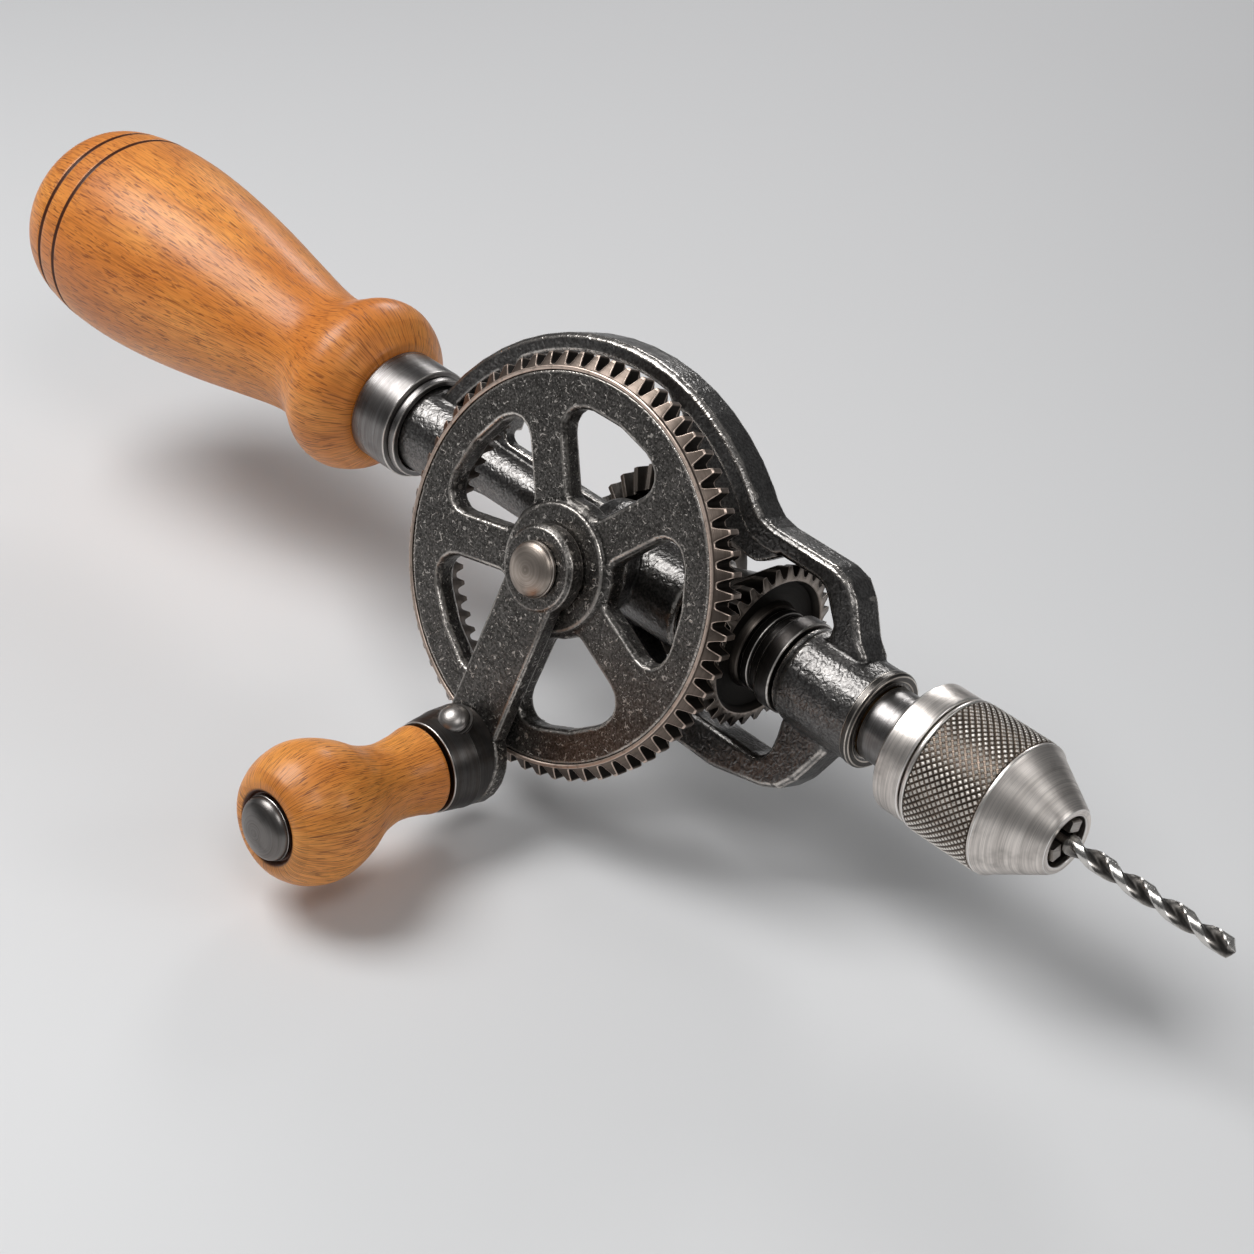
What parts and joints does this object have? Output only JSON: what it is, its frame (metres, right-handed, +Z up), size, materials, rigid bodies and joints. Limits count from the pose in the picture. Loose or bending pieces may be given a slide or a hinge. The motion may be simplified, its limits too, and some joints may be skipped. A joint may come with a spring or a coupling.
{
  "type": "hand drill",
  "caption": "Hand cranked bevel gear drill with a wooden handle, an arched cast frame, a spoked drive wheel and a three jaw chuck.",
  "frame": {"origin": "on the ground plane, under the middle of the drill's bounding box, level with its lowest point (the crank grip)", "axes": "+X along the spindle towards the drill bit, -Y towards the crank, +Z up"},
  "size_m": [0.3334, 0.102, 0.1073],
  "materials": {
    "beech": "satin lacquer over turned beech",
    "cast_iron": "dark, fine cast texture with worn bright edges",
    "blued_steel": "dark blued, turned",
    "brushed_steel": "brushed round its axis",
    "bright_steel": "bright turned steel",
    "bronze": "plain bearing bronze"
  },
  "bodies": {
    "frame_body": {"frame": "cast_iron", "main_handle": "beech", "handle_ferrule": "blued_steel", "handle_tang": "bright_steel", "axle_pin": "bright_steel", "axle_washer": "blued_steel", "axle_nut": "blued_steel", "front_bush": "bronze", "rear_bush": "bronze", "thrust_race": "blued_steel"},
    "crank_body": {"drive_wheel": "cast_iron", "wheel_bush": "bronze", "drive_dowel_1": "bright_steel", "drive_dowel_2": "bright_steel", "crank_arm": "cast_iron", "grip_socket": "blued_steel", "socket_rivet": "bright_steel", "grip_pin": "bright_steel"},
    "grip_body": {"crank_grip": "beech"},
    "counter_body": {"counter_gear": "cast_iron"},
    "spindle_body": {"spindle": "blued_steel", "drive_pinion": "cast_iron", "small_pinion": "blued_steel", "pinion_pin": "bright_steel", "thrust_collar": "blued_steel", "chuck_body": "brushed_steel"},
    "sleeve_body": {"chuck_sleeve": "brushed_steel", "chuck_nut": "blued_steel"},
    "jaw_1": {"chuck_jaw_1": "bright_steel"},
    "jaw_2": {"chuck_jaw_2": "bright_steel"},
    "jaw_3": {"chuck_jaw_3": "bright_steel"},
    "bit_body": {"drill_bit": "bright_steel"}
  },
  "joints": [
    {"name": "crank_spin", "type": "hinge", "parent": "frame_body", "child": "crank_body", "pos_m": [0.01766, 0.02825, 0.06553], "axis": [0, 1, 0], "continuous": true},
    {"name": "spindle_spin", "type": "hinge", "parent": "frame_body", "child": "spindle_body", "pos_m": [0.01766, 0.02825, 0.06553], "axis": [1, 0, 0], "continuous": true},
    {"name": "counter_spin", "type": "hinge", "parent": "frame_body", "child": "counter_body", "pos_m": [0.01766, 0.02825, 0.06553], "axis": [0, 1, 0], "continuous": true},
    {"name": "grip_spin", "type": "hinge", "parent": "crank_body", "child": "grip_body", "pos_m": [0.01429, -0.00155, 0.02267], "axis": [-0.0183, -0.9724, -0.2327], "continuous": true},
    {"name": "chuck_turn", "type": "hinge", "parent": "spindle_body", "child": "sleeve_body", "pos_m": [0.01766, 0.02825, 0.06553], "axis": [1, 0, 0], "range_deg": [0, 540]},
    {"name": "jaw_1_slide", "type": "slide", "parent": "spindle_body", "child": "jaw_1", "axis": [-0.9744, 0, 0.225], "range_m": [0, 0.0048]},
    {"name": "jaw_2_slide", "type": "slide", "parent": "spindle_body", "child": "jaw_2", "axis": [-0.9744, -0.1948, -0.1125], "range_m": [0, 0.0048]},
    {"name": "jaw_3_slide", "type": "slide", "parent": "spindle_body", "child": "jaw_3", "axis": [-0.9744, 0.1948, -0.1125], "range_m": [0, 0.0048]},
    {"name": "bit_slide", "type": "slide", "parent": "spindle_body", "child": "bit_body", "axis": [1, 0, 0], "range_m": [0, 0.06]}
  ],
  "couplings": [
    {"joint": "spindle_spin", "follows": "crank_spin", "ratio": 2.1667},
    {"joint": "counter_spin", "follows": "crank_spin", "ratio": -0.86667},
    {"joint": "jaw_1_slide", "follows": "chuck_turn", "m_per_rad": 0.000509},
    {"joint": "jaw_2_slide", "follows": "chuck_turn", "m_per_rad": 0.000509},
    {"joint": "jaw_3_slide", "follows": "chuck_turn", "m_per_rad": 0.000509}
  ]
}
